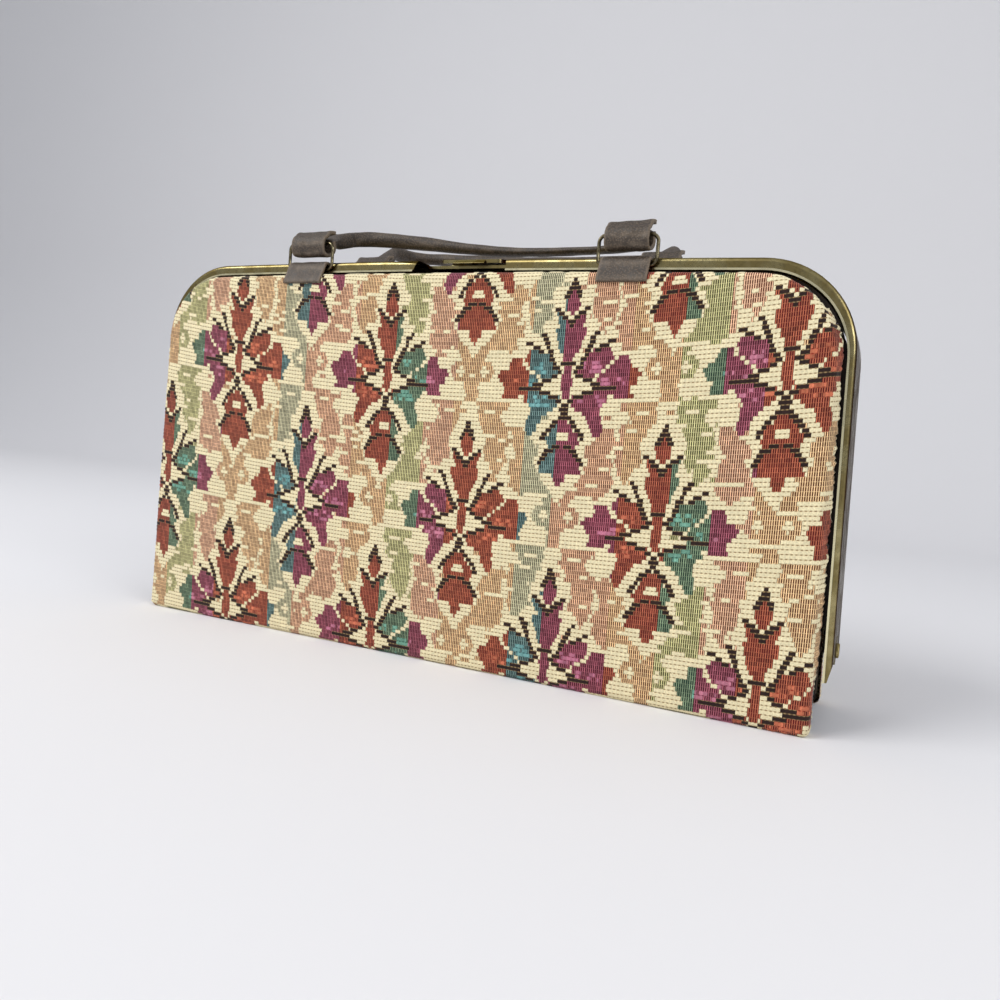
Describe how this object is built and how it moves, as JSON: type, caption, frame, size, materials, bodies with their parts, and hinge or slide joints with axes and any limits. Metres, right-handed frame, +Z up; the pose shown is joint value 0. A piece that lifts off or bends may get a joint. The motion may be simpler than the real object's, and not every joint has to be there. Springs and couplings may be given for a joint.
{
  "type": "carpet bag",
  "caption": "Flat tapestry carpet bag: covered panels in a hinged brass box frame with a lift clasp, and rolled leather handles on wire rings",
  "frame": {"origin": "middle of the base, on the surface that the bag stands on", "axes": "+X along the bag to the right as seen from the front, -Y out of the front panel, +Z up"},
  "size_m": [0.3012, 0.0938, 0.1789],
  "materials": {
    "tapestry": "woven wool and cotton tapestry with raised weft floats",
    "aged_brass": "aged gold-tone brass, satin with dark tarnish",
    "rivet_brass": "worn brass",
    "dark_wire": "dark bronzed wire",
    "brown_leather": "grained grey-brown leather, creased",
    "board": "grey-brown board",
    "lining_cloth": "dark plain-weave lining",
    "black_cloth": "black cloth"
  },
  "bodies": {
    "rear_half": {"rear_frame": "aged_brass", "left_hinge_rivet": "rivet_brass", "right_hinge_rivet": "rivet_brass", "rear_cover": "tapestry", "rear_board": "board", "rear_lining": "lining_cloth", "base_cover": "tapestry", "left_gusset": "black_cloth", "right_gusset": "black_cloth", "clasp_base": "aged_brass", "clasp_pin": "rivet_brass", "clasp_rivets": "rivet_brass", "rear_left_tab": "brown_leather", "rear_right_tab": "brown_leather"},
    "front_half": {"front_frame": "aged_brass", "front_cover": "tapestry", "front_board": "board", "front_lining": "lining_cloth", "catch_plates": "aged_brass", "front_left_tab": "brown_leather", "front_right_tab": "brown_leather"},
    "clasp": {"clasp_lever": "aged_brass"},
    "front_rings": {"front_left_ring": "dark_wire", "front_right_ring": "dark_wire"},
    "front_handle": {"front_handle_roll": "brown_leather", "front_left_handle_end": "brown_leather", "front_right_handle_end": "brown_leather"},
    "rear_rings": {"rear_left_ring": "dark_wire", "rear_right_ring": "dark_wire"},
    "rear_handle": {"rear_handle_roll": "brown_leather", "rear_left_handle_end": "brown_leather", "rear_right_handle_end": "brown_leather"}
  },
  "joints": [
    {"name": "frame_hinge", "type": "hinge", "parent": "rear_half", "child": "front_half", "pos_m": [0, 0, 0.025], "axis": [1, 0, 0], "range_deg": [0, 50], "deforming": ["base_cover", "left_gusset", "right_gusset"]},
    {"name": "clasp_hinge", "type": "hinge", "parent": "rear_half", "child": "clasp", "pos_m": [0.001, 0.007, 0.1605], "axis": [-1, 0, 0], "range_deg": [0, 60]},
    {"name": "front_ring_hinge", "type": "hinge", "parent": "front_half", "child": "front_rings", "pos_m": [0, -0.0229, 0.15359], "axis": [1, 0, 0], "range_deg": [-8, 75]},
    {"name": "front_handle_hinge", "type": "hinge", "parent": "front_rings", "child": "front_handle", "pos_m": [0, -0.0229, 0.16439], "axis": [1, 0, 0], "range_deg": [0, 95]},
    {"name": "rear_ring_hinge", "type": "hinge", "parent": "rear_half", "child": "rear_rings", "pos_m": [0, 0.0229, 0.15359], "axis": [1, 0, 0], "range_deg": [-75, 8]},
    {"name": "rear_handle_hinge", "type": "hinge", "parent": "rear_rings", "child": "rear_handle", "pos_m": [0, 0.0229, 0.16439], "axis": [1, 0, 0], "range_deg": [0, 95]}
  ]
}
